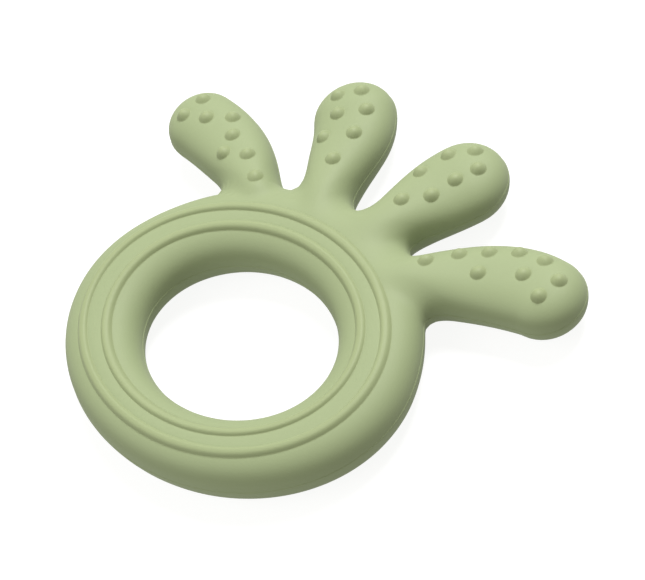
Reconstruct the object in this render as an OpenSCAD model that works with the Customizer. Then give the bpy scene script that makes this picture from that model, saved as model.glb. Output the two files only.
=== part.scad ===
// Silicone teething ring moulded in one piece: an oval ring with two raised beads
// on each face, and a fan of four club-shaped arms with soft nubs on both faces.
// Each named region of the moulding is its own solid, and the solids meet face to
// face. X runs across the fan, Y along its middle and Z up. The origin is on the
// axis of the hole, in the plane that the lower beads rest on.

/* [Ring] */
// Half width of the ring across X
ring_a = 38; // [36:0.5:42]
// Half length of the ring along Y
ring_b = 30.4; // [29:0.2:34]
// Half width of the hand hole across X
hole_a = 21.8; // [18:0.2:23]
// Half length of the hand hole along Y
hole_b = 16.6; // [14:0.2:18]
// Thickness of the ring between its two lands
ring_t = 11.8; // [10:0.2:14]
// Width of the flat land that carries the two beads
land_w = 7.6; // [7.2:0.1:8]
// How far the ring swells outwards where it carries the arms
palm = 4; // [1:0.2:5]

/* [Beads] */
// Half width of the outer bead's crest across X
outer_bead_a = 32.8; // [32.6:0.1:33]
// Half width of the inner bead's crest across X
inner_bead_a = 27.6; // [27.4:0.1:27.8]
// Length of both beads along Y over their width across X
bead_ratio = 0.778; // [0.77:0.002:0.784]
// Width of a bead at its foot
bead_w = 1.8; // [1.2:0.1:2]
// Height of a bead above the land
bead_h = 0.65; // [0.4:0.05:1]
// Width of the flat on a bead's crest
bead_flat = 0.6; // [0.4:0.1:0.8]

/* [Arms] */
// Thickness of an arm
arm_t = 10; // [8:0.2:11]
// Half width of the neck of the two outer arms
outer_neck = 4.9; // [4.5:0.1:5.5]
// Half width of the neck of the two middle arms
mid_neck = 5.9; // [5.5:0.1:6.2]
// Half width of the waist of the two middle arms
mid_waist = 4.6; // [4.2:0.1:5.5]
// Half width of the club end of the two outer arms
outer_club = 7.6; // [7:0.1:8.2]
// Half width of the club end of the two middle arms
mid_club = 8.2; // [7.5:0.1:8.6]

/* [Nubs] */
// Radius of a nub at its foot
nub_r = 1.5; // [1.3:0.1:2]
// Height of a nub above its arm
nub_h = 0.9; // [0.5:0.05:1.1]

/* [Hidden] */
ARMS = ["arm_left", "arm_mid_left", "arm_mid_right", "arm_right"];

SAGE = [0.64, 0.69, 0.52];
SAGE_LIGHT = [0.70, 0.75, 0.58];

// Each arm's centre line is a quadratic curve with a start, a pull and an end point
ROOTS = [[-15, 20], [-5.3, 18.5], [5.3, 18.5], [15, 18.5]];
PULLS = [[-35, 37], [-8.4, 38], [8.8, 37.6], [31.6, 35.8]];
ENDS = [[-42, 34.6], [-14.9, 50.4], [14.7, 49.2], [45.9, 36.4]];
OUTER_WIDTHS = [outer_neck, outer_club, outer_club];
MID_WIDTHS = [mid_neck, mid_waist, mid_club];
WIDTHS = [OUTER_WIDTHS, MID_WIDTHS, MID_WIDTHS, OUTER_WIDTHS];

// Where the nubs stand on each arm, from its tip to its neck
NUBS = [
    [[-43.6, 37.6], [-44.2, 32.7], [-39.2, 34.4], [-34.8, 37.2], [-31.4, 33.7], [-30, 29.8],
     [-26, 32], [-22.7, 29.9]],
    [[-15.2, 54.6], [-11.1, 51.5], [-18.7, 51.3], [-15.4, 47.8], [-9.3, 45.9], [-14.4, 42.3],
     [-8.6, 39]],
    [[14.8, 54.2], [10.9, 50.8], [18.4, 51.1], [16.2, 46.9], [8.7, 45.2], [14.5, 41.9],
     [10.2, 38.2]],
    [[48.4, 38.9], [47.4, 34.3], [43.2, 41], [42, 36.5], [37.7, 40.2], [34.3, 32.6],
     [32.7, 37.4], [28, 34.2], [23.2, 30.4]]
];

AROUND = 72;            // steps round the ring
SHOULDER = 5;           // steps along each quarter of the ring's rounded edge
BEAD_STEPS = 3;         // steps up each side of a bead's round back
ALONG = 12;             // steps along an arm
TIP = 5;                // steps over an arm's round end
ARM_SIDES = 20;         // sides of an arm's section
NUB_SINK = 1.5;         // depth of a nub's cap below its foot
NUB_BLOCK = 4;          // half size of the block that cuts a nub's ball
NUB_SIDES = 24;         // facets round a nub, where they are drawn
STEPS = 60;             // steps in the search for the nearest place on an arm
PASSES = 4;             // passes that settle a direction onto the ring's edge
HALVINGS = 16;          // halvings that find where an arm leaves the ring
ROOT_LIMIT = 0.8;       // furthest share of an arm's length where that may be
RIM_LIMIT = 0.95;       // furthest share of an arm's half width for a nub's foot
ARM_FULLNESS = 2.3;     // 2 would make an arm's section an ellipse, more makes it fuller
PALM_FROM = 18;         // angle where the swelling for the arms begins
PALM_FULL = 48;         // angle where it is fully out
ROOT_SIZES = [0.25, 0.5, 0.75, 1]; // sizes of the rings that close an arm's root
LAST_LEAN = 84;         // lean of the last ring over an arm's round end

mid_z = bead_h + ring_t / 2;
land_mid_a = (outer_bead_a + inner_bead_a) / 2;
land_mid_b = land_mid_a * bead_ratio;

// 0 below the first angle, 1 above the second, and a smooth rise between them
function rise(x, from, to) =
    let (t = min(1, max(0, (x - from) / (to - from)))) t * t * (3 - 2 * t);

function unit(v) = v / norm(v);

// A point on an oval, and the outward direction there
function oval(a, b, t) = [a * cos(t), b * sin(t)];
function oval_normal(a, b, t) = unit([cos(t) / a, sin(t) / b]);

// How far the outline stands outside the plain oval at an angle
function swell(t) = palm * rise(t, PALM_FROM, PALM_FULL) * rise(180 - t, PALM_FROM, PALM_FULL);

// Joins closed rings of points into one skin. A closed run joins its last ring to
// its first, and an open run gets a flat cap at each end.
module skin(rings, closed) {
    n = len(rings[0]);
    m = len(rings);
    spans = closed ? m : m - 1;
    walls = [
        for (i = [0 : spans - 1], j = [0 : n - 1])
            let (
                a = i * n + j,
                b = i * n + (j + 1) % n,
                c = (i + 1) % m * n + (j + 1) % n,
                d = (i + 1) % m * n + j
            )
            each [[a, b, c], [a, c, d]]
    ];
    caps = closed ? [] : [[for (j = [n - 1 : -1 : 0]) j], [for (j = [0 : n - 1]) (m - 1) * n + j]];
    polyhedron(points = [for (ring = rings) each ring], faces = concat(walls, caps));
}

// The middle of the land at an angle, and a point out from it towards the outer edge
function land_point(t, shift) =
    oval(land_mid_a, land_mid_b, t) + oval_normal(land_mid_a, land_mid_b, t) * shift;
function outer_edge(t) = oval(ring_a, ring_b, t) + swell(t) * oval_normal(ring_a, ring_b, t);
function shoulder_out(t, reach) =
    let (foot = land_point(t, land_w / 2)) foot + (outer_edge(t) - foot) * reach;
function shoulder_in(t, reach) =
    let (foot = land_point(t, -land_w / 2)) foot + (oval(hole_a, hole_b, t) - foot) * reach;

// One section of the ring: a quarter round from the hole to the upper land, another
// down to the outer edge, and the same again below
function ring_section(t) =
    let (step = 90 / SHOULDER)
    [
        for (k = [0 : SHOULDER])
            let (p = shoulder_in(t, cos(k * step)))
            [p.x, p.y, mid_z + ring_t / 2 * sin(k * step)],
        for (k = [SHOULDER : -1 : -SHOULDER])
            let (p = shoulder_out(t, cos(k * step)))
            [p.x, p.y, mid_z + ring_t / 2 * sin(k * step)],
        for (k = [-SHOULDER : -1])
            let (p = shoulder_in(t, cos(k * step)))
            [p.x, p.y, mid_z + ring_t / 2 * sin(k * step)]
    ];

module ring_body() {
    color(SAGE) skin([for (i = [0 : AROUND - 1]) ring_section(i * 360 / AROUND)], true);
}

// A bead has a flat foot, a round back and a small flat crest. Its round passes
// through the corners of the foot and of the crest, about a centre below the land.
bead_sink = (pow(bead_w / 2, 2) - pow(bead_flat / 2, 2) - pow(bead_h, 2)) / (2 * bead_h);
bead_round = norm([bead_w / 2, bead_sink]);
foot_turn = asin(bead_sink / bead_round);
crest_turn = acos(bead_flat / 2 / bead_round);
BACK_TURNS = [for (k = [0 : BEAD_STEPS]) foot_turn + (crest_turn - foot_turn) * k / BEAD_STEPS];

function bead_section(a, t) =
    let (
        middle = oval(a, a * bead_ratio, t),
        across = oval_normal(a, a * bead_ratio, t),
        back = [for (turn = BACK_TURNS) bead_round * [cos(turn), sin(turn)] - [0, bead_sink]],
        last = len(back) - 1,
        profile = concat(
            [for (p = back) [-p.x, p.y]],
            [for (k = [last : -1 : 0]) back[k]]
        )
    )
    [for (q = profile) let (p = middle + across * q.x) [p.x, p.y, q.y]];

module bead(a) {
    skin([for (i = [0 : AROUND - 1]) bead_section(a, i * 360 / AROUND)], true);
}

module top_bead(a) {
    color(SAGE_LIGHT) translate([0, 0, bead_h + ring_t]) bead(a);
}

module bottom_bead(a) {
    color(SAGE_LIGHT) translate([0, 0, bead_h]) mirror([0, 0, 1]) bead(a);
}

// Quadratic curve through a start and an end, drawn towards a pull point
function bend(start, pull, end, s) =
    pow(1 - s, 2) * start + 2 * s * (1 - s) * pull + s * s * end;
function heading(start, pull, end, s) =
    unit((1 - s) * (pull - start) + s * (end - pull));

// How far the ring's edge stands from the hole's axis, in the direction of a point
// and at its height. The oval's angle is settled in a few passes.
function settle(aim, reach, t, passes) =
    passes == 0 ? t
    : let (p = shoulder_out(t, reach)) settle(aim, reach, t + aim - atan2(p.y, p.x), passes - 1);
function edge_distance(p) =
    let (
        reach = sqrt(max(0, 1 - pow((p.z - mid_z) / (ring_t / 2), 2))),
        aim = atan2(p.y, p.x)
    )
    norm(shoulder_out(settle(aim, reach, aim, PASSES), reach));

// A point of an arm: how far along it, the turn round its section, and how much of
// the section's size. The section is an oval, a little fuller than an ellipse.
function fuller(x) = sign(x) * pow(abs(x), 2 / ARM_FULLNESS);
function arm_width(i, s) = bend(WIDTHS[i][0], WIDTHS[i][1], WIDTHS[i][2], s);
function arm_point(i, s, turn, size) =
    let (
        along = heading(ROOTS[i], PULLS[i], ENDS[i], s),
        side = [along.y, -along.x],
        p = bend(ROOTS[i], PULLS[i], ENDS[i], s) + side * arm_width(i, s) * size * fuller(cos(turn))
    )
    [p.x, p.y, mid_z + arm_t / 2 * size * fuller(sin(turn))];

// Where a line along an arm leaves the ring, found by halving
function leaves(i, turn, size, low, high, halvings) =
    let (s = (low + high) / 2, p = arm_point(i, s, turn, size))
    halvings == 0 ? s
    : norm([p.x, p.y]) < edge_distance(p) ? leaves(i, turn, size, s, high, halvings - 1)
    : leaves(i, turn, size, low, s, halvings - 1);
function root_share(i, turn, size) = leaves(i, turn, size, 0, ROOT_LIMIT, HALVINGS);

// An arm is a skin of rings: its root follows the ring's edge, so that the two meet,
// its shaft follows the centre line, and its club end is round
module arm(i) {
    turns = [for (k = [0 : ARM_SIDES - 1]) (k + 0.5) * 360 / ARM_SIDES];
    root = [
        for (size = ROOT_SIZES)
            [for (turn = turns) arm_point(i, root_share(i, turn, size), turn, size)]
    ];
    starts = [for (turn = turns) root_share(i, turn, 1)];
    shaft = [
        for (k = [1 : ALONG])
            [
                for (j = [0 : ARM_SIDES - 1])
                    arm_point(i, starts[j] + (1 - starts[j]) * k / ALONG, turns[j], 1)
            ]
    ];
    along = heading(ROOTS[i], PULLS[i], ENDS[i], 1);
    side = [along.y, -along.x];
    club = [
        for (k = [1 : TIP])
            let (lean = k * LAST_LEAN / TIP, centre = ENDS[i] + along * WIDTHS[i][2] * sin(lean))
            [
                for (turn = turns)
                    let (p = centre + side * WIDTHS[i][2] * cos(lean) * fuller(cos(turn)))
                    [p.x, p.y, mid_z + arm_t / 2 * fuller(cos(lean)) * fuller(sin(turn))]
            ]
    ];
    color(SAGE) skin(concat(root, shaft, club), false);
}

// The nearest place on an arm's centre line to a point, by stepping along it
function nearest(i, p) =
    let (
        gaps = [for (k = [0 : STEPS]) norm(p - bend(ROOTS[i], PULLS[i], ENDS[i], k / STEPS))]
    )
    search(min(gaps), gaps)[0] / STEPS;

// Height of an arm's surface above its middle at a point in plan
function crown(i, p) =
    let (
        s = nearest(i, p),
        gap = norm(p - bend(ROOTS[i], PULLS[i], ENDS[i], s)) / arm_width(i, s)
    )
    arm_t / 2 * pow(1 - pow(min(RIM_LIMIT, gap), ARM_FULLNESS), 1 / ARM_FULLNESS);

// A nub is a shallow round cap, cut off below its foot and fitted to the arm
nub_ball = (nub_r * nub_r + nub_h * nub_h) / (2 * nub_h);

module nub_cap() {
    intersection() {
        translate([0, 0, nub_h - nub_ball]) sphere(r = nub_ball, $fn = NUB_SIDES);
        translate([-NUB_BLOCK, -NUB_BLOCK, -NUB_SINK])
            cube([2 * NUB_BLOCK, 2 * NUB_BLOCK, NUB_SINK + NUB_BLOCK]);
    }
}

module nub_group(i, face) {
    color(SAGE_LIGHT) difference() {
        for (p = NUBS[i])
            translate([p.x, p.y, mid_z + face * crown(i, p)])
                mirror([0, 0, face > 0 ? 0 : 1]) nub_cap();
        arm(i);
    }
}

ring_body();
top_bead(outer_bead_a);  // outer_bead_top
top_bead(inner_bead_a);  // inner_bead_top
bottom_bead(outer_bead_a);  // outer_bead_bottom
bottom_bead(inner_bead_a);  // inner_bead_bottom
for (i = [0 : len(ARMS) - 1]) {
    arm(i);
    nub_group(i, 1);
    nub_group(i, -1);
}
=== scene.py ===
"""Silicone teething ring, moulded in one piece, in a plain pale studio.

The moulding has one continuous skin: an oval ring, four club-shaped arms that
flow out of it, two raised beads and rows of soft nubs on each face. Every named
region of the CAD model gets its own closed piece. Each piece is a grid over two
parameters, and all the grids are drawn onto the same skin, so that the joins
between the regions don't show. Shapes are worked out in millimetres and put into
their meshes in metres.
"""
import logging
import math
from dataclasses import dataclass, replace
from enum import Enum

import bpy
import numpy as np
from mathutils import Matrix, Vector


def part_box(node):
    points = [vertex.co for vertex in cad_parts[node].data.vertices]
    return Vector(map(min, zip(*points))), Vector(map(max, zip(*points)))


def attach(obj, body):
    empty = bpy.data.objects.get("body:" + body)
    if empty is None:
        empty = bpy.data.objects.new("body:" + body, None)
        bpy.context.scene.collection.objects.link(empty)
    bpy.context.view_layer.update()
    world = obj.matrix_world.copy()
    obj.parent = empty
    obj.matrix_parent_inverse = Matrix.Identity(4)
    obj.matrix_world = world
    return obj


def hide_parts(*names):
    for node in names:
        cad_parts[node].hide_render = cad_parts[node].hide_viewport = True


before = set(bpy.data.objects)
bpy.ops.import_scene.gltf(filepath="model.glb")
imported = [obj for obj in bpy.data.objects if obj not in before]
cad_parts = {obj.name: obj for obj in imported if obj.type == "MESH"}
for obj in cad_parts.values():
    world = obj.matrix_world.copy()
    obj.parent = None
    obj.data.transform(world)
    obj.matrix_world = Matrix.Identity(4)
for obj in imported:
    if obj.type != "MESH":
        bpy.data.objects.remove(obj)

Array = np.ndarray
MM = 0.001
FAR_OUT = -50.0  # inset of a plan point far outside every region
TINY = 1e-12  # shortest length that a direction is divided by
ON_SKIN = 1e-5  # gauge within which a point already lies on the skin
NUDGE = 1e-3  # step of a numerical derivative
HALVINGS = 13  # halvings that find where a point meets the skin
BODY = "root"
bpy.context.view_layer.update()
log = logging.getLogger("teething_ring")


class Face(Enum):
    """The two faces of the moulding, by the way they look."""

    TOP = 1
    BOTTOM = -1


# ---------------------------------------------------------------- shape maths


def smooth_step(x: Array, low: float, high: float) -> Array:
    """Rises from 0 at low to 1 at high, level at both ends: t * t * (3 - 2 t).

    Args:
        x: Where to read the rise.
        low: Where the rise begins.
        high: Where it is complete.

    Returns:
        The rise at each x.
    """
    t = np.clip((x - low) / (high - low), 0, 1)
    return t * t * (3 - 2 * t)


def soft_max(a: Array, b: Array, blend: float) -> Array:
    """The larger of two values, filled in where the two are close together.

    The fill is (blend - |a - b|) squared over four times blend.

    Args:
        a: First values.
        b: Second values.
        blend: How close the two are where the fill begins.

    Returns:
        The rounded larger value.
    """
    near = np.clip(blend - np.abs(a - b), 0, None)
    return np.maximum(a, b) + near**2 / (4 * blend)


def bell(share: Array, fullness: float, softness: float) -> Array:
    """A mound's height: 1 in the middle, 0 at its foot, (1 - |share| ^ fullness) ^ softness.

    Args:
        share: Distance from the middle as a share of the foot's reach.
        fullness: More makes the top broader.
        softness: More makes the foot run out more gently.

    Returns:
        The height at each share, from 0 to 1.
    """
    return (1 - np.clip(np.abs(share), 0, 1) ** fullness) ** softness


def unit(vectors: Array) -> Array:
    """The same directions with length 1."""
    return vectors / np.maximum(np.linalg.norm(vectors, axis=-1, keepdims=True), TINY)


@dataclass(frozen=True)
class Oval:
    """An ellipse in plan, set a little along Y from the ring's axis."""

    half_x: float
    half_y: float
    centre_y: float = 0.0

    def reach(self, angle: Array) -> Array:
        """Distance from the ring's axis to the oval in a direction.

        A point r (cos, sin) lies on the oval where A r^2 + B r + C = 0, and the
        distance is the positive root.

        Args:
            angle: Direction from the axis, in radians.

        Returns:
            The distance in each direction.
        """
        c, s = np.cos(angle), np.sin(angle)
        a = (c / self.half_x) ** 2 + (s / self.half_y) ** 2
        b = -2 * s * self.centre_y / self.half_y**2
        k = (self.centre_y / self.half_y) ** 2 - 1
        return (-b + np.sqrt(b * b - 4 * a * k)) / (2 * a)

    def offset_point(self, turn: Array, offset: Array) -> tuple[Array, Array]:
        """A point beside the oval: the oval's point plus offset along its outward normal.

        Args:
            turn: Ellipse parameter, in radians.
            offset: Distance outwards from the oval.

        Returns:
            X and Y of each point.
        """
        c, s = np.cos(turn), np.sin(turn)
        nx, ny = c / self.half_x, s / self.half_y
        length = np.hypot(nx, ny)
        x = self.half_x * c + offset * nx / length
        y = self.centre_y + self.half_y * s + offset * ny / length
        return x, y


@dataclass(frozen=True)
class ArmLine:
    """An arm's centre line in plan, a cubic curve, with its half widths.

    The half widths are those of the neck, the waist and the club end. The width
    grows level into the round end, so that the two join without a crease.
    """

    TRIALS = 13
    NEWTON_STEPS = 5
    LEAST_BEND = 1.0

    root: tuple[float, float]
    pull: tuple[float, float]
    push: tuple[float, float]
    end: tuple[float, float]
    widths: tuple[float, float, float]

    def corners(self) -> Array:
        """The curve's four corners: root, pull, push and end."""
        return np.array([self.root, self.pull, self.push, self.end], float)

    def point(self, s: Array) -> Array:
        """Plan point: (1-s)^3 root + 3 s (1-s)^2 pull + 3 s^2 (1-s) push + s^3 end."""
        u = 1 - s
        return np.stack([u**3, 3 * s * u * u, 3 * s * s * u, s**3], -1) @ self.corners()

    def half_width(self, s: Array) -> Array:
        """Half width: (1-s)^3 neck + 3 s (1-s)^2 waist + (3 s^2 - 2 s^3) club."""
        neck, waist, club = self.widths
        return (1 - s) ** 3 * neck + 3 * s * (1 - s) ** 2 * waist + s * s * (3 - 2 * s) * club

    def slope(self, s: Array) -> Array:
        """Derivative of the plan point by s, from the steps between the corners."""
        u = 1 - s
        return np.stack([3 * u * u, 6 * s * u, 3 * s * s], -1) @ np.diff(self.corners(), axis=0)

    def nearest(self, x: Array, y: Array) -> Array:
        """Share of the line nearest to each plan point.

        The best of a few even shares is refined by Newton steps on the squared
        distance.

        Args:
            x: X of each point.
            y: Y of each point.

        Returns:
            Shares from 0 to 1.
        """
        trial = np.linspace(0, 1, self.TRIALS)
        spots = self.point(trial)
        gap = (x[..., None] - spots[:, 0]) ** 2 + (y[..., None] - spots[:, 1]) ** 2
        s = trial[np.argmin(gap, axis=-1)]
        bends = 6 * np.diff(self.corners(), n=2, axis=0)
        target = np.stack([x, y], -1)
        for _ in range(self.NEWTON_STEPS):
            away = self.point(s) - target
            slope = self.slope(s)
            curl = np.stack([1 - s, s], -1) @ bends
            first = (away * slope).sum(-1)
            second = (slope * slope).sum(-1) + (away * curl).sum(-1)
            s = np.clip(s - first / np.maximum(second, self.LEAST_BEND), 0, 1)
        return s

    def inset(self, x: Array, y: Array) -> Array:
        """How far inside the arm a plan point is: 1 on its line, 0 on its outline.

        Args:
            x: X of each point.
            y: Y of each point.

        Returns:
            1 - distance from the line / half width there.
        """
        s = self.nearest(x, y)
        spot = self.point(s)
        return 1 - np.hypot(x - spot[..., 0], y - spot[..., 1]) / self.half_width(s)


@dataclass(frozen=True)
class Skin:
    """The moulding's smooth skin, without its beads and nubs, about the middle plane.

    A plan point has an inset, 0 on the outline and 1 where the face is level. The
    half thickness there is T (1 - (1 - inset)^n)^(1/n), so that every edge is round.

    Attributes:
        outer: The ring's outer edge, without the palm.
        hole: The hand hole's edge.
        arms: The arms' centre lines.
        ring_half: Half thickness of the ring.
        with_ring: Whether the ring is part of the skin.
        palm: How far the ring swells outwards for the arms.
        palm_from: Angle above X where the swelling begins, in degrees.
        palm_full: Angle where it is complete.
        arm_half: Half thickness of the arms.
        thin_from: Distance beyond the ring's edge where it begins to thin to the arms.
        thin_to: Distance where it has thinned.
        fullness: The n of the formula: 2 is an ellipse, and more is fuller.
        web: How broadly neighbouring arms blend.
        fillet: How broadly the arms blend with the ring.
        reach: Furthest that a point is drawn out onto the skin.
        seam_height: Height of the parting line's step.
        seam_rise: Height above the middle over which the step drops.
        seam_fade: Depth below the middle over which it fades.
    """

    outer: Oval
    hole: Oval
    arms: tuple[ArmLine, ...]
    ring_half: float
    with_ring: bool = True
    palm: float = 3.2
    palm_from: float = 13.0
    palm_full: float = 78.0
    arm_half: float = 5.2
    thin_from: float = -2.0
    thin_to: float = 14.0
    fullness: float = 2.38
    web: float = 1.3
    fillet: float = 0.75
    reach: float = 3.0
    seam_height: float = 0.1
    seam_rise: float = 0.2
    seam_fade: float = 1.6

    def edge(self, angle: Array) -> Array:
        """Distance from the axis to the ring's outer edge, which swells for the arms.

        Args:
            angle: Direction from the axis, in radians.

        Returns:
            The outer oval's distance plus the palm's swelling.
        """
        from_x = np.degrees(np.abs(np.arctan2(np.sin(angle), np.abs(np.cos(angle)))))
        swell = smooth_step(from_x, self.palm_from, self.palm_full)
        return self.outer.reach(angle) + self.palm * swell * (np.sin(angle) > 0)

    def across(self, x: Array, y: Array) -> Array:
        """Place across the ring's band: -1 at the hole, 0 in the middle, 1 at the outer edge."""
        angle = np.arctan2(y, x)
        low, high = self.hole.reach(angle), self.edge(angle)
        return 2 * (np.hypot(x, y) - low) / (high - low) - 1

    def inset(self, x: Array, y: Array) -> Array:
        """How far inside the outline a plan point is, at most 1.

        The arms are joined to each other by soft webs and to the ring's outer side by
        a fillet, and then the hole is cut.

        Args:
            x: X of each point.
            y: Y of each point.

        Returns:
            The inset, negative outside.
        """
        inset = np.full(x.shape, FAR_OUT)
        for arm in self.arms:
            inset = soft_max(inset, arm.inset(x, y), self.web)
        if self.with_ring:
            across = self.across(x, y)
            inset = np.minimum(soft_max(inset, 1 - across, self.fillet), 1 + across)
        return np.minimum(inset, 1)

    def level(self, x: Array, y: Array) -> Array:
        """Half thickness where the face is level: the ring's, then the arms' beyond its edge."""
        beyond = np.hypot(x, y) - self.edge(np.arctan2(y, x))
        return self.ring_half + (self.arm_half - self.ring_half) * smooth_step(
            beyond, self.thin_from, self.thin_to
        )

    def height(self, x: Array, y: Array) -> Array:
        """Half thickness at a plan point, 0 on the outline."""
        thin = 1 - np.clip(self.inset(x, y), 0, 1)
        return self.level(x, y) * (1 - thin**self.fullness) ** (1 / self.fullness)

    def gauge(self, points: Array) -> Array:
        """Below 0 inside the skin, 0 on it and above 0 outside.

        It is ((1 - inset)^n + |z / level|^n)^(1/n) - 1.

        Args:
            points: Points, with z from the middle plane.

        Returns:
            The gauge at each point.
        """
        x, y, z = points[..., 0], points[..., 1], points[..., 2]
        n = self.fullness
        return ((1 - self.inset(x, y)) ** n + np.abs(z / self.level(x, y)) ** n) ** (1 / n) - 1

    def normals(self, points: Array, step: float = 0.03) -> Array:
        """Outward directions, from the gauge's central differences.

        Args:
            points: Points on or near the skin.
            step: Half the distance between the two readings.

        Returns:
            A unit vector for each point.
        """
        slopes = [self.gauge(points + d) - self.gauge(points - d) for d in np.eye(3) * step]
        return unit(np.stack(slopes, -1))

    def seam(self, z: Array) -> Array:
        """How far the parting line's step stands out: sharp above the middle, fading below."""
        fade = smooth_step(z, -self.seam_fade, 0)
        return self.seam_height * fade * (1 - smooth_step(z, 0, self.seam_rise))

    def settle(self, points: Array, own: "Skin") -> tuple[Array, Array]:
        """Draws one region's own surface out onto the whole skin, and adds the parting line.

        Each point goes along its region's own normal until it meets the skin, but no
        further than the reach, so that what lies inside a neighbour stays hidden there.

        Args:
            points: Points of the region's own surface.
            own: The same skin with that region alone.

        Returns:
            The settled points and their outward directions.
        """
        flat = points.reshape(-1, 3)
        out = own.normals(flat)
        deep = np.flatnonzero(self.gauge(flat) < -ON_SKIN)
        start, way = flat[deep], out[deep]
        low = np.zeros(len(deep))
        high = np.full(len(deep), self.reach)
        for _ in range(HALVINGS):
            middle = (low + high) / 2
            inside = self.gauge(start + way * middle[:, None]) < 0
            low, high = np.where(inside, middle, low), np.where(inside, high, middle)
        moved = flat.copy()
        moved[deep] = start + way * low[:, None]
        facing = self.normals(moved)
        z = moved[:, 2]
        tilt = (self.seam(z + NUDGE) - self.seam(z - NUDGE)) / (2 * NUDGE)
        moved = moved + facing * self.seam(z)[:, None]
        facing = unit(facing - tilt[:, None] * np.array([0.0, 0.0, 1.0]))
        return moved.reshape(points.shape), facing.reshape(points.shape)


# ------------------------------------------------------------------- meshes


@dataclass
class Shell:
    """A closed skin of rings of points, either a loop of rings or closed by two poles."""

    rings: Array
    normals: Array
    poles: Array | None = None

    def arrays(self) -> tuple[Array, Array, Array, Array]:
        """Vertices, their normals, four-sided faces and three-sided faces.

        Returns:
            Vertices and normals as rows of three, and faces as rows of vertex numbers.
        """
        rows, columns = self.rings.shape[:2]
        number = np.arange(rows * columns).reshape(rows, columns)
        ahead = np.roll(number, -1, axis=1)
        above, above_ahead = np.roll(number, -1, axis=0), np.roll(ahead, -1, axis=0)
        last = None if self.poles is None else -1
        quads = np.stack([number, ahead, above_ahead, above], -1)[:last].reshape(-1, 4)
        points, facing = self.rings.reshape(-1, 3), self.normals.reshape(-1, 3)
        triangles = np.zeros((0, 3), int)
        if self.poles is not None:
            first, final = rows * columns, rows * columns + 1
            start = np.stack([ahead[0], number[0], np.full(columns, first)], -1)
            stop = np.stack([number[-1], ahead[-1], np.full(columns, final)], -1)
            triangles = np.concatenate([start, stop])
            ends = unit(self.poles - self.rings[[1, -2]].mean(axis=1))
            points, facing = np.vstack([points, self.poles]), np.vstack([facing, ends])
        corners = points[quads]
        fan = np.concatenate([points[triangles], corners[:, [0, 1, 2]], corners[:, [0, 2, 3]]])
        volume = np.einsum("ij,ij->", fan[:, 0], np.cross(fan[:, 1], fan[:, 2]))
        if volume < 0:
            quads, triangles = quads[:, ::-1], triangles[:, ::-1]
        return points, facing, quads, triangles


def make_piece(
    name: str, shells: list[Shell], lift: float, material: bpy.types.Material
) -> bpy.types.Object:
    """Makes one object of some shells, which stands for the CAD node of the same name.

    Args:
        name: The CAD node's name.
        shells: The shells, in millimetres about the middle plane.
        lift: Height of the middle plane, in millimetres.
        material: What the piece is made of.

    Returns:
        The finished object, riding on the moulding's body.
    """
    points, facing, faces = [], [], []
    count = 0
    for shell in shells:
        p, n, quads, triangles = shell.arrays()
        points.append(p)
        facing.append(n)
        faces += (quads + count).tolist() + (triangles + count).tolist()
        count += len(p)
    place = (np.vstack(points) + [0, 0, lift]) * MM
    mesh = bpy.data.meshes.new(name + "_skin")
    mesh.from_pydata(place.tolist(), [], faces)
    mesh.shade_smooth()
    mesh.normals_split_custom_set_from_vertices(np.vstack(facing).tolist())
    mesh.materials.append(material)
    piece = bpy.data.objects.new(name + "_skin", mesh)
    bpy.context.scene.collection.objects.link(piece)
    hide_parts(name)
    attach(piece, BODY)
    log.info("%s: %d faces", piece.name, len(faces))
    return piece


# ------------------------------------------------------------------ regions


@dataclass
class SectionTurns:
    """The turns round a rounded section, closer together where the parting line is.

    Attributes:
        steps: Even steps in each quarter.
        seam_marks: Heights above the middle that get a turn for the parting line.
        seam_clearance: The first even turn, at least, as a multiple of the last mark's.
    """

    steps: int = 14
    seam_marks: tuple[float, ...] = (0.05, 0.1, 0.15, 0.21, 0.4)
    seam_clearance: float = 1.4

    def around(self, skin: Skin) -> Array:
        """Angles round a whole section, in radians, from 0 up to a full turn.

        Args:
            skin: The skin, whose fullness and thickness place the parting line.

        Returns:
            The angles, in order.
        """
        near = np.arcsin((np.array(self.seam_marks) / skin.arm_half) ** (skin.fullness / 2))
        even = np.linspace(0, math.pi / 2, self.steps + 1)
        quarter = np.concatenate([[0], near, even[even > near[-1] * self.seam_clearance]])
        half = np.concatenate([quarter, math.pi - quarter[-2::-1]])
        return np.concatenate([half, math.pi + half[1:-1]])

    @staticmethod
    def fuller(value: Array, fullness: float) -> Array:
        """Bends a sine or cosine so that the section is fuller than an ellipse."""
        return np.sign(value) * np.abs(value) ** (2 / fullness)


@dataclass
class RingBody:
    """The oval ring with its palm, as turns round a section times directions from the axis."""

    skin: Skin
    turns: SectionTurns
    directions: int = 720

    def build(self, lift: float, material: bpy.types.Material) -> None:
        """Makes the ring.

        A section point is cos^(2/n) across the band and sin^(2/n) up.

        Args:
            lift: Height of the middle plane.
            material: What it is made of.
        """
        skin = self.skin
        turn = self.turns.around(skin)[:, None]
        angle = np.arange(self.directions) * 2 * math.pi / self.directions
        across = self.turns.fuller(np.cos(turn), skin.fullness)
        low, high = skin.hole.reach(angle), skin.edge(angle)
        out = low + (high - low) * (1 + across) / 2
        x, y = out * np.cos(angle), out * np.sin(angle)
        z = skin.level(x, y) * self.turns.fuller(np.sin(turn), skin.fullness)
        own = replace(skin, arms=())
        points, facing = skin.settle(np.stack([x, y, z], -1), own)
        make_piece("ring_body", [Shell(points, facing)], lift, material)


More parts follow.
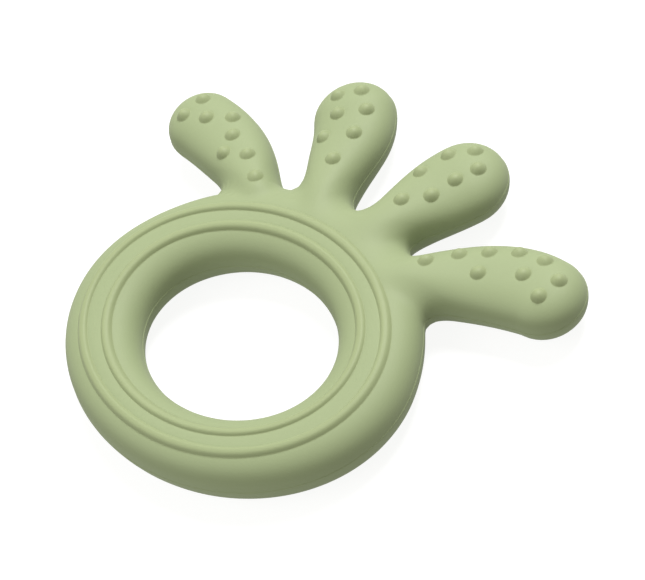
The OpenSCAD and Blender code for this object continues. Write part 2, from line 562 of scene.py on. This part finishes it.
@dataclass
class Bead:
    """A raised bead round the ring's face, on a strip whose rims lie on the skin.

    Attributes:
        name: The CAD node's name.
        line: The oval under the bead's crest.
        height: Height of the crest above the skin.
        half_foot: Half width of the strip.
        fullness: How broad the crest is.
        softness: How gently the foot runs out.
        depth: How far the hidden underside lies below the skin.
        sunk_share: Share of the half foot where the underside's edges are.
        steps: Steps across the strip.
        directions: Steps round the ring.
    """

    name: str
    line: Oval
    height: float
    half_foot: float = 1.1
    fullness: float = 2.8
    softness: float = 1.2
    depth: float = 0.3
    sunk_share: float = 0.7
    steps: int = 16
    directions: int = 720

    def build(self, skin: Skin, face: Face, lift: float, material: bpy.types.Material) -> None:
        """Makes the bead.

        The strip's points stand beside the bead's oval, and their height is the skin's
        plus the bell of their share of the foot.

        Args:
            skin: The skin under the bead.
            face: Which face it is on.
            lift: Height of the middle plane.
            material: What it is made of.
        """
        share = np.linspace(-1, 1, self.steps + 1)[:, None]
        turn = np.arange(self.directions)[None, :] * 2 * math.pi / self.directions

        def surface(share: Array, turn: Array) -> Array:
            """Points of the bead's back."""
            x, y = self.line.offset_point(turn, share * self.half_foot)
            z = skin.height(x, y) + self.height * bell(share, self.fullness, self.softness)
            return np.stack([x, y, z * face.value], -1)

        top = surface(share, turn)
        over = surface(share + NUDGE, turn) - surface(share - NUDGE, turn)
        along = surface(share, turn + NUDGE) - surface(share, turn - NUDGE)
        facing = unit(np.cross(over, along))
        facing = facing * np.sign(facing[..., 2:]) * face.value
        sunk = surface(np.array([[self.sunk_share], [-self.sunk_share]]), turn)
        sunk[..., 2] -= face.value * (self.depth + self.height)
        down = np.zeros_like(sunk) + [0, 0, -face.value]
        shell = Shell(np.concatenate([top, sunk]), np.concatenate([facing, down]))
        make_piece(self.name, [shell], lift, material)


@dataclass
class Arm:
    """One club-shaped arm: rings along its line, and a round end.

    Attributes:
        name: The CAD node's name.
        line: The arm's centre line.
        turns: The turns round its section.
        rows: Rings along the line.
        samples: Places on the line that are tried for its start.
        root_margin: How far inside the ring's edge the arm begins.
        sunk_rows: Rings at the root that lie below the skin.
        sink: How far the first of them lies below it.
    """

    ZERO_DIGITS = 9

    name: str
    line: ArmLine
    turns: SectionTurns
    rows: int = 96
    samples: int = 401
    root_margin: float = 5.0
    sunk_rows: int = 4
    sink: float = 0.35

    def start(self, skin: Skin) -> float:
        """The share of the line where the arm begins, inside the ring.

        Args:
            skin: The skin, whose outer edge the arm grows out of.

        Returns:
            The share where the line is the root margin inside the ring's edge.
        """
        s = np.linspace(0, 1, self.samples)
        spot = self.line.point(s)
        beyond = np.hypot(*spot.T) - skin.edge(np.arctan2(spot[:, 1], spot[:, 0]))
        return float(s[np.argmax(beyond > -self.root_margin)])

    def build(self, skin: Skin, lift: float, material: bpy.types.Material) -> None:
        """Makes the arm.

        Along the line, a section point is half width * cos^(2/n) to the side. Past the
        line's end the section moves on and narrows as a circle does. Every point's
        height is the arm's own.

        Args:
            skin: The whole skin.
            lift: Height of the middle plane.
            material: What it is made of.
        """
        own = replace(skin, arms=(self.line,), with_ring=False)
        turn = self.turns.around(skin)
        across = self.turns.fuller(np.cos(turn), skin.fullness)
        s = np.linspace(self.start(skin), 1, self.rows)
        quarter = turn[turn < math.pi / 2][1:]
        ahead = self.turns.fuller(np.sin((math.pi / 2 - quarter)[::-1]), skin.fullness)
        share = np.concatenate([s, np.ones(len(ahead))])
        forward = np.concatenate([np.zeros(len(s)), ahead])
        along = unit(self.line.slope(share))
        side = np.stack([along[:, 1], -along[:, 0]], -1)
        width = self.line.half_width(share)
        middle = self.line.point(share) + along * (forward * width)[:, None]
        reach = (width * np.sqrt(1 - forward**2))[:, None] * across
        plan = middle[:, None, :] + side[:, None, :] * reach[..., None]
        gone = np.clip(np.hypot(forward[:, None], reach / width[:, None]), 0, 1)
        thick = (1 - gone**skin.fullness) ** (1 / skin.fullness)
        above = np.sign(np.round(np.sin(turn), self.ZERO_DIGITS))
        z = own.level(plan[..., 0], plan[..., 1]) * thick * above
        points, facing = skin.settle(np.concatenate([plan, z[..., None]], -1), own)
        fade = np.clip(1 - np.arange(len(share)) / self.sunk_rows, 0, 1) * self.sink
        points = points - facing * fade[:, None, None]
        end = self.line.point(np.ones(1))[0]
        tip = np.append(end + along[-1] * (width[-1] + skin.seam_height), 0)
        heart = np.append(self.line.point(s[:1])[0], 0)
        shell = Shell(points, facing, np.stack([heart, tip]))
        make_piece(self.name, [shell], lift, material)


@dataclass
class NubGroup:
    """The soft nubs on one face of an arm, each a small mound on its own round patch.

    Attributes:
        name: The CAD node's name.
        spots: Where the nubs stand in plan.
        height: Height of a nub above the skin.
        foot: Radius of the patch.
        fullness: How broad the top is.
        softness: How gently the foot runs out.
        depth: How far the hidden underside lies below the skin.
        sunk_share: Share of the foot where the underside's edge is.
        rings: Rings of points on a nub.
        around: Points in each ring.
    """

    name: str
    spots: tuple[tuple[float, float], ...]
    height: float = 1.0
    foot: float = 1.6
    fullness: float = 2.1
    softness: float = 1.05
    depth: float = 0.4
    sunk_share: float = 0.8
    rings: int = 11
    around: int = 36

    def build(self, skin: Skin, face: Face, lift: float, material: bpy.types.Material) -> None:
        """Makes the nubs.

        A nub's points lie over circles about its spot, in the plane that touches the
        skin there. Each is the skin's point, raised along the spot's normal by the bell
        of its share of the foot. None stands out past the plane the moulding rests on.

        Args:
            skin: The skin under the nubs.
            face: Which face they are on.
            lift: Height of the middle plane.
            material: What they are made of.
        """
        share = np.linspace(0, 1, self.rings + 1)[1:, None]
        angle = np.arange(self.around)[None, :] * 2 * math.pi / self.around
        shells = []
        for spot in self.spots:
            base = np.array([[*spot, 0.0]])
            base[0, 2] = skin.height(base[:, 0], base[:, 1])[0]
            up = skin.normals(base)[0]
            height = min(self.height, lift - base[0, 2])
            first = unit(np.array([1.0, 0.0, 0.0]) - up * up[0])
            second = np.cross(up, first)

            def surface(share: Array, angle: Array) -> Array:
                """Points of the nub's back."""
                out, round_it = self.foot * share * np.cos(angle), self.foot * share * np.sin(angle)
                x = spot[0] + out * first[0] + round_it * second[0]
                y = spot[1] + out * first[1] + round_it * second[1]
                rise = height * bell(share, self.fullness, self.softness)
                ground = np.stack([x, y, skin.height(x, y)], -1)
                return (ground + rise[..., None] * up) * [1, 1, face.value]

            back = surface(share, angle)
            over = surface(share + NUDGE, angle) - surface(share - NUDGE, angle)
            along = surface(share, angle + NUDGE) - surface(share, angle - NUDGE)
            facing = unit(np.cross(over, along))
            facing = facing * np.sign(facing[..., 2:]) * face.value
            sunk = surface(np.array([[self.sunk_share]]), angle)
            sunk[..., 2] -= face.value * (self.depth + self.height)
            down = np.zeros_like(sunk) + [0, 0, -face.value]
            crown = (base[0] + height * up) * [1, 1, face.value]
            keel = base[0] * [1, 1, face.value] - [0, 0, face.value * self.depth]
            rings, normals = np.concatenate([back, sunk]), np.concatenate([facing, down])
            shells.append(Shell(rings, normals, np.stack([crown, keel])))
        make_piece(self.name, shells, lift, material)


# ---------------------------------------------------------------- materials


def socket_colour(rgb: tuple[float, float, float]) -> tuple[float, float, float, float]:
    """A linear colour with full alpha."""
    return (*rgb, 1.0)


class MouldedGrain:
    """Node group for moulded silicone: cloudy pigment and a fine powdery grain."""

    NAME = "moulded_grain"
    INPUTS = (
        ("Colour", "NodeSocketColor"),
        ("Cloud", "NodeSocketColor"),
        ("Clouding", "NodeSocketFloat"),
        ("Grain", "NodeSocketFloat"),
        ("Polish", "NodeSocketFloat"),
    )
    OUTPUTS = (
        ("Colour", "NodeSocketColor"),
        ("Roughness", "NodeSocketFloat"),
        ("Height", "NodeSocketFloat"),
    )
    CLOUD_SCALE = 60.0
    CLOUD_DETAIL = 3.0
    GRAIN_SCALE = 2600.0
    GRAIN_DETAIL = 4.0
    GRAIN_ROUGHNESS = 0.16

    @classmethod
    def group(cls) -> bpy.types.NodeTree:
        """The group, built the first time that it is asked for.

        Returns:
            The node group with inputs Colour, Cloud, Clouding, Grain and Polish, and
            outputs Colour, Roughness and Height.
        """
        if cls.NAME in bpy.data.node_groups:
            return bpy.data.node_groups[cls.NAME]
        tree = bpy.data.node_groups.new(cls.NAME, "ShaderNodeTree")
        face = tree.interface
        for name, kind in cls.INPUTS:
            face.new_socket(name, in_out="INPUT", socket_type=kind)
        for name, kind in cls.OUTPUTS:
            face.new_socket(name, in_out="OUTPUT", socket_type=kind)
        nodes, links = tree.nodes, tree.links
        given, put = nodes.new("NodeGroupInput"), nodes.new("NodeGroupOutput")
        where = nodes.new("ShaderNodeTexCoord")
        cloud = nodes.new("ShaderNodeTexNoise")
        cloud.inputs["Scale"].default_value = cls.CLOUD_SCALE
        cloud.inputs["Detail"].default_value = cls.CLOUD_DETAIL
        grain = nodes.new("ShaderNodeTexNoise")
        grain.inputs["Scale"].default_value = cls.GRAIN_SCALE
        grain.inputs["Detail"].default_value = cls.GRAIN_DETAIL
        links.new(where.outputs["Object"], cloud.inputs["Vector"])
        links.new(where.outputs["Object"], grain.inputs["Vector"])
        amount = nodes.new("ShaderNodeMath")
        amount.operation = "MULTIPLY"
        links.new(cloud.outputs["Fac"], amount.inputs[0])
        links.new(given.outputs["Clouding"], amount.inputs[1])
        mix = nodes.new("ShaderNodeMix")
        mix.data_type = "RGBA"
        links.new(amount.outputs[0], mix.inputs["Factor"])
        links.new(given.outputs["Colour"], mix.inputs["A"])
        links.new(given.outputs["Cloud"], mix.inputs["B"])
        links.new(mix.outputs["Result"], put.inputs["Colour"])
        rough = nodes.new("ShaderNodeMath")
        rough.operation = "MULTIPLY_ADD"
        links.new(grain.outputs["Fac"], rough.inputs[0])
        rough.inputs[1].default_value = cls.GRAIN_ROUGHNESS
        links.new(given.outputs["Polish"], rough.inputs[2])
        links.new(rough.outputs[0], put.inputs["Roughness"])
        height = nodes.new("ShaderNodeMath")
        height.operation = "MULTIPLY"
        links.new(grain.outputs["Fac"], height.inputs[0])
        links.new(given.outputs["Grain"], height.inputs[1])
        links.new(height.outputs[0], put.inputs["Height"])
        return tree


@dataclass(frozen=True)
class SiliconeFinish:
    """One finish of the moulding's silicone.

    Attributes:
        name: The material's name.
        colour: Its colour, linear.
        cloud: The colour that clouds it.
        clouding: How strongly it does.
        grain: Strength of the powdery grain's relief.
        polish: Least roughness, to which the grain adds.
        relief: Depth of the relief, in metres.
        ior: Index of refraction.
        specular: Strength of the gloss.
        sheen: Strength of the soft sheen.
        sheen_roughness: Spread of the sheen.
    """

    name: str
    colour: tuple[float, float, float] = (0.276, 0.326, 0.183)
    cloud: tuple[float, float, float] = (0.258, 0.306, 0.168)
    clouding: float = 0.5
    grain: float = 1.0
    polish: float = 0.5
    relief: float = 0.00002
    ior: float = 1.41
    specular: float = 0.3
    sheen: float = 0.05
    sheen_roughness: float = 0.5

    def material(self) -> bpy.types.Material:
        """Builds the material.

        Returns:
            A Principled BSDF fed by the moulded grain.
        """
        material = bpy.data.materials.new(self.name)
        material.use_nodes = True
        nodes, links = material.node_tree.nodes, material.node_tree.links
        shader = nodes["Principled BSDF"]
        shader.inputs["IOR"].default_value = self.ior
        shader.inputs["Specular IOR Level"].default_value = self.specular
        shader.inputs["Sheen Weight"].default_value = self.sheen
        shader.inputs["Sheen Roughness"].default_value = self.sheen_roughness
        grain = nodes.new("ShaderNodeGroup")
        grain.node_tree = MouldedGrain.group()
        grain.inputs["Colour"].default_value = socket_colour(self.colour)
        grain.inputs["Cloud"].default_value = socket_colour(self.cloud)
        grain.inputs["Clouding"].default_value = self.clouding
        grain.inputs["Grain"].default_value = self.grain
        grain.inputs["Polish"].default_value = self.polish
        bump = nodes.new("ShaderNodeBump")
        bump.inputs["Distance"].default_value = self.relief
        links.new(grain.outputs["Colour"], shader.inputs["Base Color"])
        links.new(grain.outputs["Roughness"], shader.inputs["Roughness"])
        links.new(grain.outputs["Height"], bump.inputs["Height"])
        links.new(bump.outputs["Normal"], shader.inputs["Normal"])
        return material


# ------------------------------------------------------------------- studio


@dataclass
class Studio:
    """A pale floor, soft lights and the camera.

    Attributes:
        azimuth: The camera's direction about Z, in degrees.
        elevation: Its height above the floor's plane, in degrees.
        roll: Its turn about the line of sight, in degrees.
        target: What it looks at, in millimetres.
        distance: How far it stands from there, in millimetres.
        lens: Its focal length on the sensor, in millimetres.
        sensor: The sensor's width, in millimetres.
        near: Nearest distance that it sees, in metres.
        far: Furthest distance that it sees, in metres.
        floor_size: Length of the floor's sides, in metres.
        floor_grey: The floor's own shade.
        floor_roughness: How dull the floor is.
        floor_gloss: Strength of the floor's gloss.
        floor_cast: Glow that the floor casts onto the moulding.
        floor_glow: Glow of the floor as it is seen.
        sky: Colour of the surrounding light.
        sky_strength: Its strength.
    """

    azimuth: float = 64.94
    elevation: float = 49.47
    roll: float = -29.13
    target: tuple[float, float, float] = (5.93, 16.98, 6.55)
    distance: float = 650.6
    lens: float = 195.37
    sensor: float = 36.0
    near: float = 0.01
    far: float = 20.0
    floor_size: float = 6.0
    floor_grey: float = 0.2
    floor_roughness: float = 0.9
    floor_gloss: float = 0.1
    floor_cast: float = 0.45
    floor_glow: float = 0.89
    sky: tuple[float, float, float] = (1, 0.98, 0.8)
    sky_strength: float = 0.36

    def camera(self) -> None:
        """Sets the camera on its line of sight and turns it about that line."""
        a, e, r = (math.radians(v) for v in (self.azimuth, self.elevation, self.roll))
        right = Vector((math.cos(a), math.sin(a), 0))
        back = Vector((math.sin(a) * math.cos(e), -math.cos(a) * math.cos(e), math.sin(e)))
        up = back.cross(right)
        across = right * math.cos(r) + up * math.sin(r)
        above = up * math.cos(r) - right * math.sin(r)
        data = bpy.data.cameras.new("camera")
        data.lens = self.lens
        data.sensor_width = self.sensor
        data.clip_start = self.near
        data.clip_end = self.far
        camera = bpy.data.objects.new("camera", data)
        bpy.context.scene.collection.objects.link(camera)
        turn = Matrix((across, above, back)).transposed().to_4x4()
        place = (Vector(self.target) + back * self.distance) * MM
        camera.matrix_world = Matrix.Translation(place) @ turn
        bpy.context.scene.camera = camera

    def floor(self) -> None:
        """Lays the pale floor that the moulding rests on."""
        half = self.floor_size / 2
        mesh = bpy.data.meshes.new("floor")
        corners = [(-half, -half, 0), (half, -half, 0), (half, half, 0), (-half, half, 0)]
        mesh.from_pydata(corners, [], [(0, 1, 2, 3)])
        material = bpy.data.materials.new("floor")
        material.use_nodes = True
        nodes, links = material.node_tree.nodes, material.node_tree.links
        shader = nodes["Principled BSDF"]
        shader.inputs["Base Color"].default_value = socket_colour((self.floor_grey,) * 3)
        shader.inputs["Roughness"].default_value = self.floor_roughness
        shader.inputs["Specular IOR Level"].default_value = self.floor_gloss
        shader.inputs["Emission Color"].default_value = socket_colour((1, 1, 1))
        seen = nodes.new("ShaderNodeLightPath")
        glow = nodes.new("ShaderNodeMapRange")
        glow.inputs["To Min"].default_value = self.floor_cast
        glow.inputs["To Max"].default_value = self.floor_glow
        links.new(seen.outputs["Is Camera Ray"], glow.inputs["Value"])
        links.new(glow.outputs["Result"], shader.inputs["Emission Strength"])
        mesh.materials.append(material)
        floor = bpy.data.objects.new("floor", mesh)
        bpy.context.scene.collection.objects.link(floor)

    def lamp(self, name: str, way: tuple[float, float, float], size: float, power: float) -> None:
        """Hangs a soft square light that looks at the moulding.

        Args:
            name: The light's name.
            way: Where it is from the moulding, in metres.
            size: Length of its sides, in metres.
            power: Its power, in watts.
        """
        data = bpy.data.lights.new(name, "AREA")
        data.size = size
        data.energy = power
        light = bpy.data.objects.new(name, data)
        bpy.context.scene.collection.objects.link(light)
        aim = Vector(self.target) * MM
        light.location = aim + Vector(way)
        light.rotation_euler = Vector(way).to_track_quat("Z", "Y").to_euler()

    def build(self) -> None:
        """Sets up the camera, the floor, the lights and the surrounding light."""
        self.camera()
        self.floor()
        self.lamp("key", way=(-0.25, 0.95, 1.5), size=0.9, power=46.0)
        self.lamp("fill", way=(-0.6, -1.3, 1.1), size=1.6, power=13.0)
        world = bpy.data.worlds.new("studio")
        world.use_nodes = True
        background = world.node_tree.nodes["Background"]
        background.inputs["Color"].default_value = socket_colour(self.sky)
        background.inputs["Strength"].default_value = self.sky_strength
        bpy.context.scene.world = world
        bpy.context.scene.view_settings.view_transform = "Standard"


# --------------------------------------------------------------------- main

RING_EDGE = Oval(38.2, 30, -0.3)
HAND_HOLE = Oval(21.7, 16.5, -0.37)
BEAD_LINES = {"outer": Oval(32.8, 25.5), "inner": Oval(27.5, 21.4)}
# Each arm's root, pull, push and end in plan, and its half widths at neck, waist and club
ARM_LINES = {
    "arm_left": ArmLine(
        (-18.8, 26.7), (-28.7, 32.5), (-36.3, 34.1), (-42.3, 34.5), (3.3, 7.5, 7.2)
    ),
    "arm_mid_left": ArmLine((-3.8, 27.2), (-12, 41.5), (-10.3, 45.1), (-15.1, 50.4), (3, 6.7, 8.1)),
    "arm_mid_right": ArmLine((5.6, 25.7), (9.9, 34), (9.2, 38.8), (14.7, 49), (7, 2.1, 8.6)),
    "arm_right": ArmLine((14.9, 20.8), (33, 36.2), (43.2, 36.3), (45.5, 36.4), (2.5, 9.8, 7.9)),
}
# Where the nubs of each arm stand in plan
NUB_SPOTS = {
    "arm_left": (
        (-43.6, 37.7), (-44.4, 32.8), (-39.4, 34.5), (-34.9, 37.3),
        (-31.5, 33.8), (-30.1, 29.7), (-25.3, 31.7), (-20, 28.4),
    ),
    "arm_mid_left": (
        (-15.3, 54.7), (-11.2, 51.6), (-18.8, 51.4), (-15.6, 47.9),
        (-9.5, 46), (-14.6, 42.4), (-8.8, 39.1),
    ),
    "arm_mid_right": (
        (14.7, 54.3), (10.8, 50.9), (18.2, 51.2), (16.1, 47),
        (8.5, 45.3), (14.3, 42), (10, 38.3),
    ),
    "arm_right": (
        (48.4, 39), (47.4, 34.4), (43.1, 41.2), (41.9, 36.6), (37.6, 40.3),
        (34.1, 32.7), (32.6, 37.5), (27.9, 34.3), (23.5, 29.9),
    ),
}


def main() -> None:
    """Builds the moulding's pieces in order, then the studio."""
    logging.basicConfig(level=logging.INFO, format="%(name)s: %(message)s")
    ring_low, ring_high = (np.array(corner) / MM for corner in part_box("ring_body"))
    _, bead_high = (np.array(corner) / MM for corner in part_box("outer_bead_top"))
    lift = float(ring_low[2] + ring_high[2]) / 2
    ring_half = float(ring_high[2] - ring_low[2]) / 2
    bead_height = float(bead_high[2] - ring_high[2])
    skin = Skin(
        outer=RING_EDGE,
        hole=HAND_HOLE,
        arms=tuple(ARM_LINES.values()),
        ring_half=ring_half,
    )
    turns = SectionTurns()
    body = SiliconeFinish("silicone_body").material()
    raised = SiliconeFinish("silicone_raised", (0.28, 0.326, 0.174), polish=0.46).material()
    RingBody(skin, turns).build(lift, body)
    for side, line in BEAD_LINES.items():
        for face in Face:
            name = f"{side}_bead_{face.name.lower()}"
            Bead(name, line, bead_height).build(skin, face, lift, raised)
    for name, line in ARM_LINES.items():
        Arm(name, line, turns).build(skin, lift, body)
        for face in Face:
            group = f"{name}_nubs_{face.name.lower()}"
            NubGroup(group, NUB_SPOTS[name]).build(skin, face, lift, raised)
    Studio().build()


if __name__ == "__main__":
    main()
